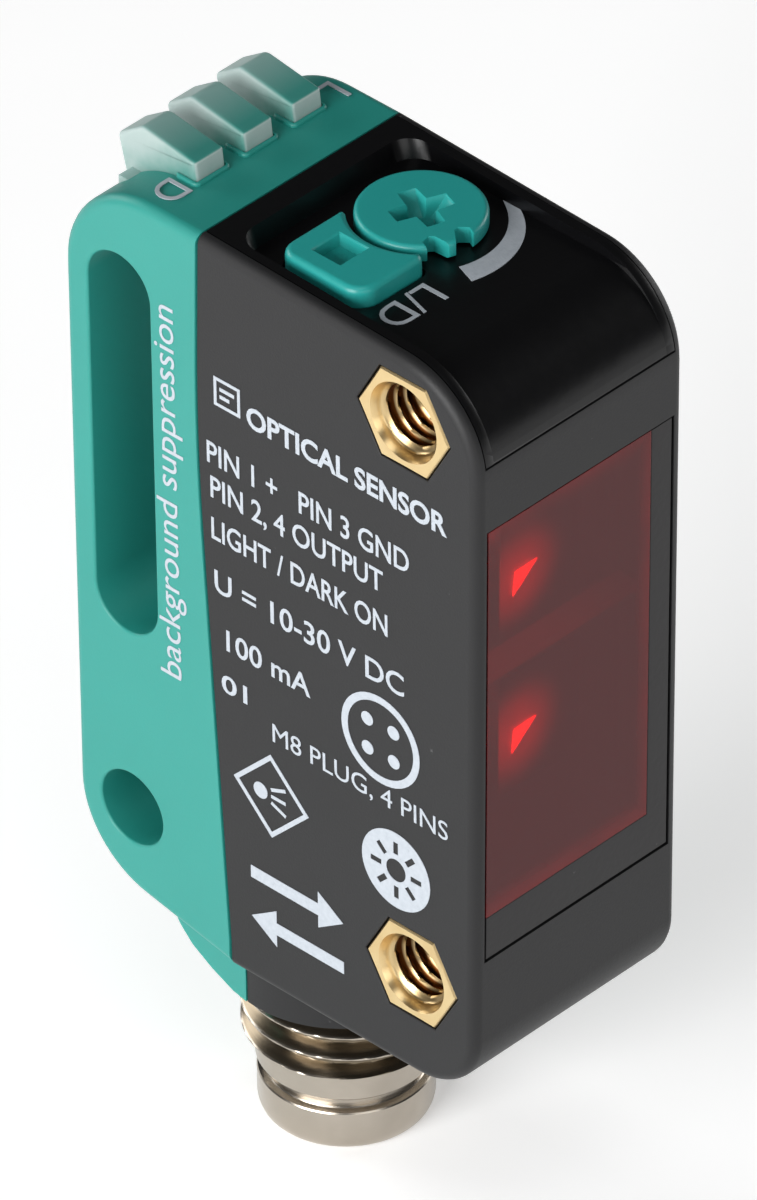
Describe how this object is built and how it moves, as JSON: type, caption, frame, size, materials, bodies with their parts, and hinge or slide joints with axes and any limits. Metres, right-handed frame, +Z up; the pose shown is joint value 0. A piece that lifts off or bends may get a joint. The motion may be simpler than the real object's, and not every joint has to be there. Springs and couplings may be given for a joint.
{
  "type": "photoelectric sensor",
  "caption": "Slim block photoelectric sensor with a red front window, an operator panel with an adjuster knob and a push button, a three-rib light pipe and a round threaded plug.",
  "frame": {"origin": "midpoint between the two threaded side inserts, on the middle plane of the width", "axes": "+X across the width towards the plain side, -Y out of the optical window, +Z up towards the light pipe, connector pointing down -Z"},
  "size_m": [0.011, 0.0211, 0.0438],
  "materials": {
    "charcoal_housing": "fine matt moulded polycarbonate",
    "teal_housing": "satin moulded polycarbonate",
    "black_elastomer": "matt moulded elastomer",
    "black_panel": "glossy moulded polycarbonate",
    "red_window": "polished red-tinted acrylic",
    "turned_brass": "turned brass with tapped bore",
    "teal_control": "satin moulded acetal",
    "blue_resin": "matt moulded resin",
    "white_nylon": "moulded nylon",
    "grey_resin": "matt moulded resin",
    "sprung_steel": "pressed stainless steel",
    "frosted_pipe": "frosted translucent polycarbonate",
    "led_resin": "clear cast resin",
    "circuit_board": "solder mask over glass epoxy",
    "polyimide_flex": "polyimide flexible circuit",
    "chip_resin": "moulded epoxy",
    "ceramic_parts": "sintered ceramic with tinned ends",
    "black_carrier": "matt black moulded carrier",
    "clear_lens": "polished acrylic",
    "emitter_resin": "red emitting diode in clear resin",
    "receiver_resin": "dark filter resin",
    "nickel_plate": "bright nickel plate over brass",
    "black_insulator": "matt moulded polyamide",
    "gold_contacts": "gold flash over nickel",
    "tinned_leads": "tinned copper"
  },
  "bodies": {
    "sensor_body": {"front_housing": "charcoal_housing", "rear_housing": "teal_housing", "housing_seal": "black_elastomer", "operator_panel": "black_panel", "front_window": "red_window", "window_seal": "black_elastomer", "mounting_inserts": "turned_brass", "knob_seal": "black_elastomer", "potentiometer_body": "blue_resin", "tact_switch": "grey_resin", "switch_dome": "sprung_steel", "light_pipe": "frosted_pipe", "indicator_leds": "led_resin", "control_board": "circuit_board", "main_board": "circuit_board", "board_link": "polyimide_flex", "processor_chip": "chip_resin", "board_components": "ceramic_parts", "optics_block": "black_carrier", "beam_divider": "black_carrier", "emitter_lens": "clear_lens", "receiver_lens": "clear_lens", "emitter_led": "emitter_resin", "receiver_array": "receiver_resin", "connector_shell": "nickel_plate", "connector_seal": "black_elastomer", "connector_insulator": "black_insulator", "contact_pins": "gold_contacts", "pin_leads": "tinned_leads"},
    "adjuster": {"range_knob": "teal_control", "potentiometer_rotor": "white_nylon"},
    "button": {"mode_button": "teal_control"}
  },
  "joints": [
    {"name": "knob_turn", "type": "hinge", "parent": "sensor_body", "child": "adjuster", "pos_m": [0.00144, 0.00568, 0.0156], "axis": [0, 0, 1], "range_deg": [0, 270]},
    {"name": "button_press", "type": "slide", "parent": "sensor_body", "child": "button", "axis": [0, 0, -1], "range_m": [0, 0.0004], "stiffness_N_per_m": 60, "deforming": ["switch_dome"]}
  ]
}
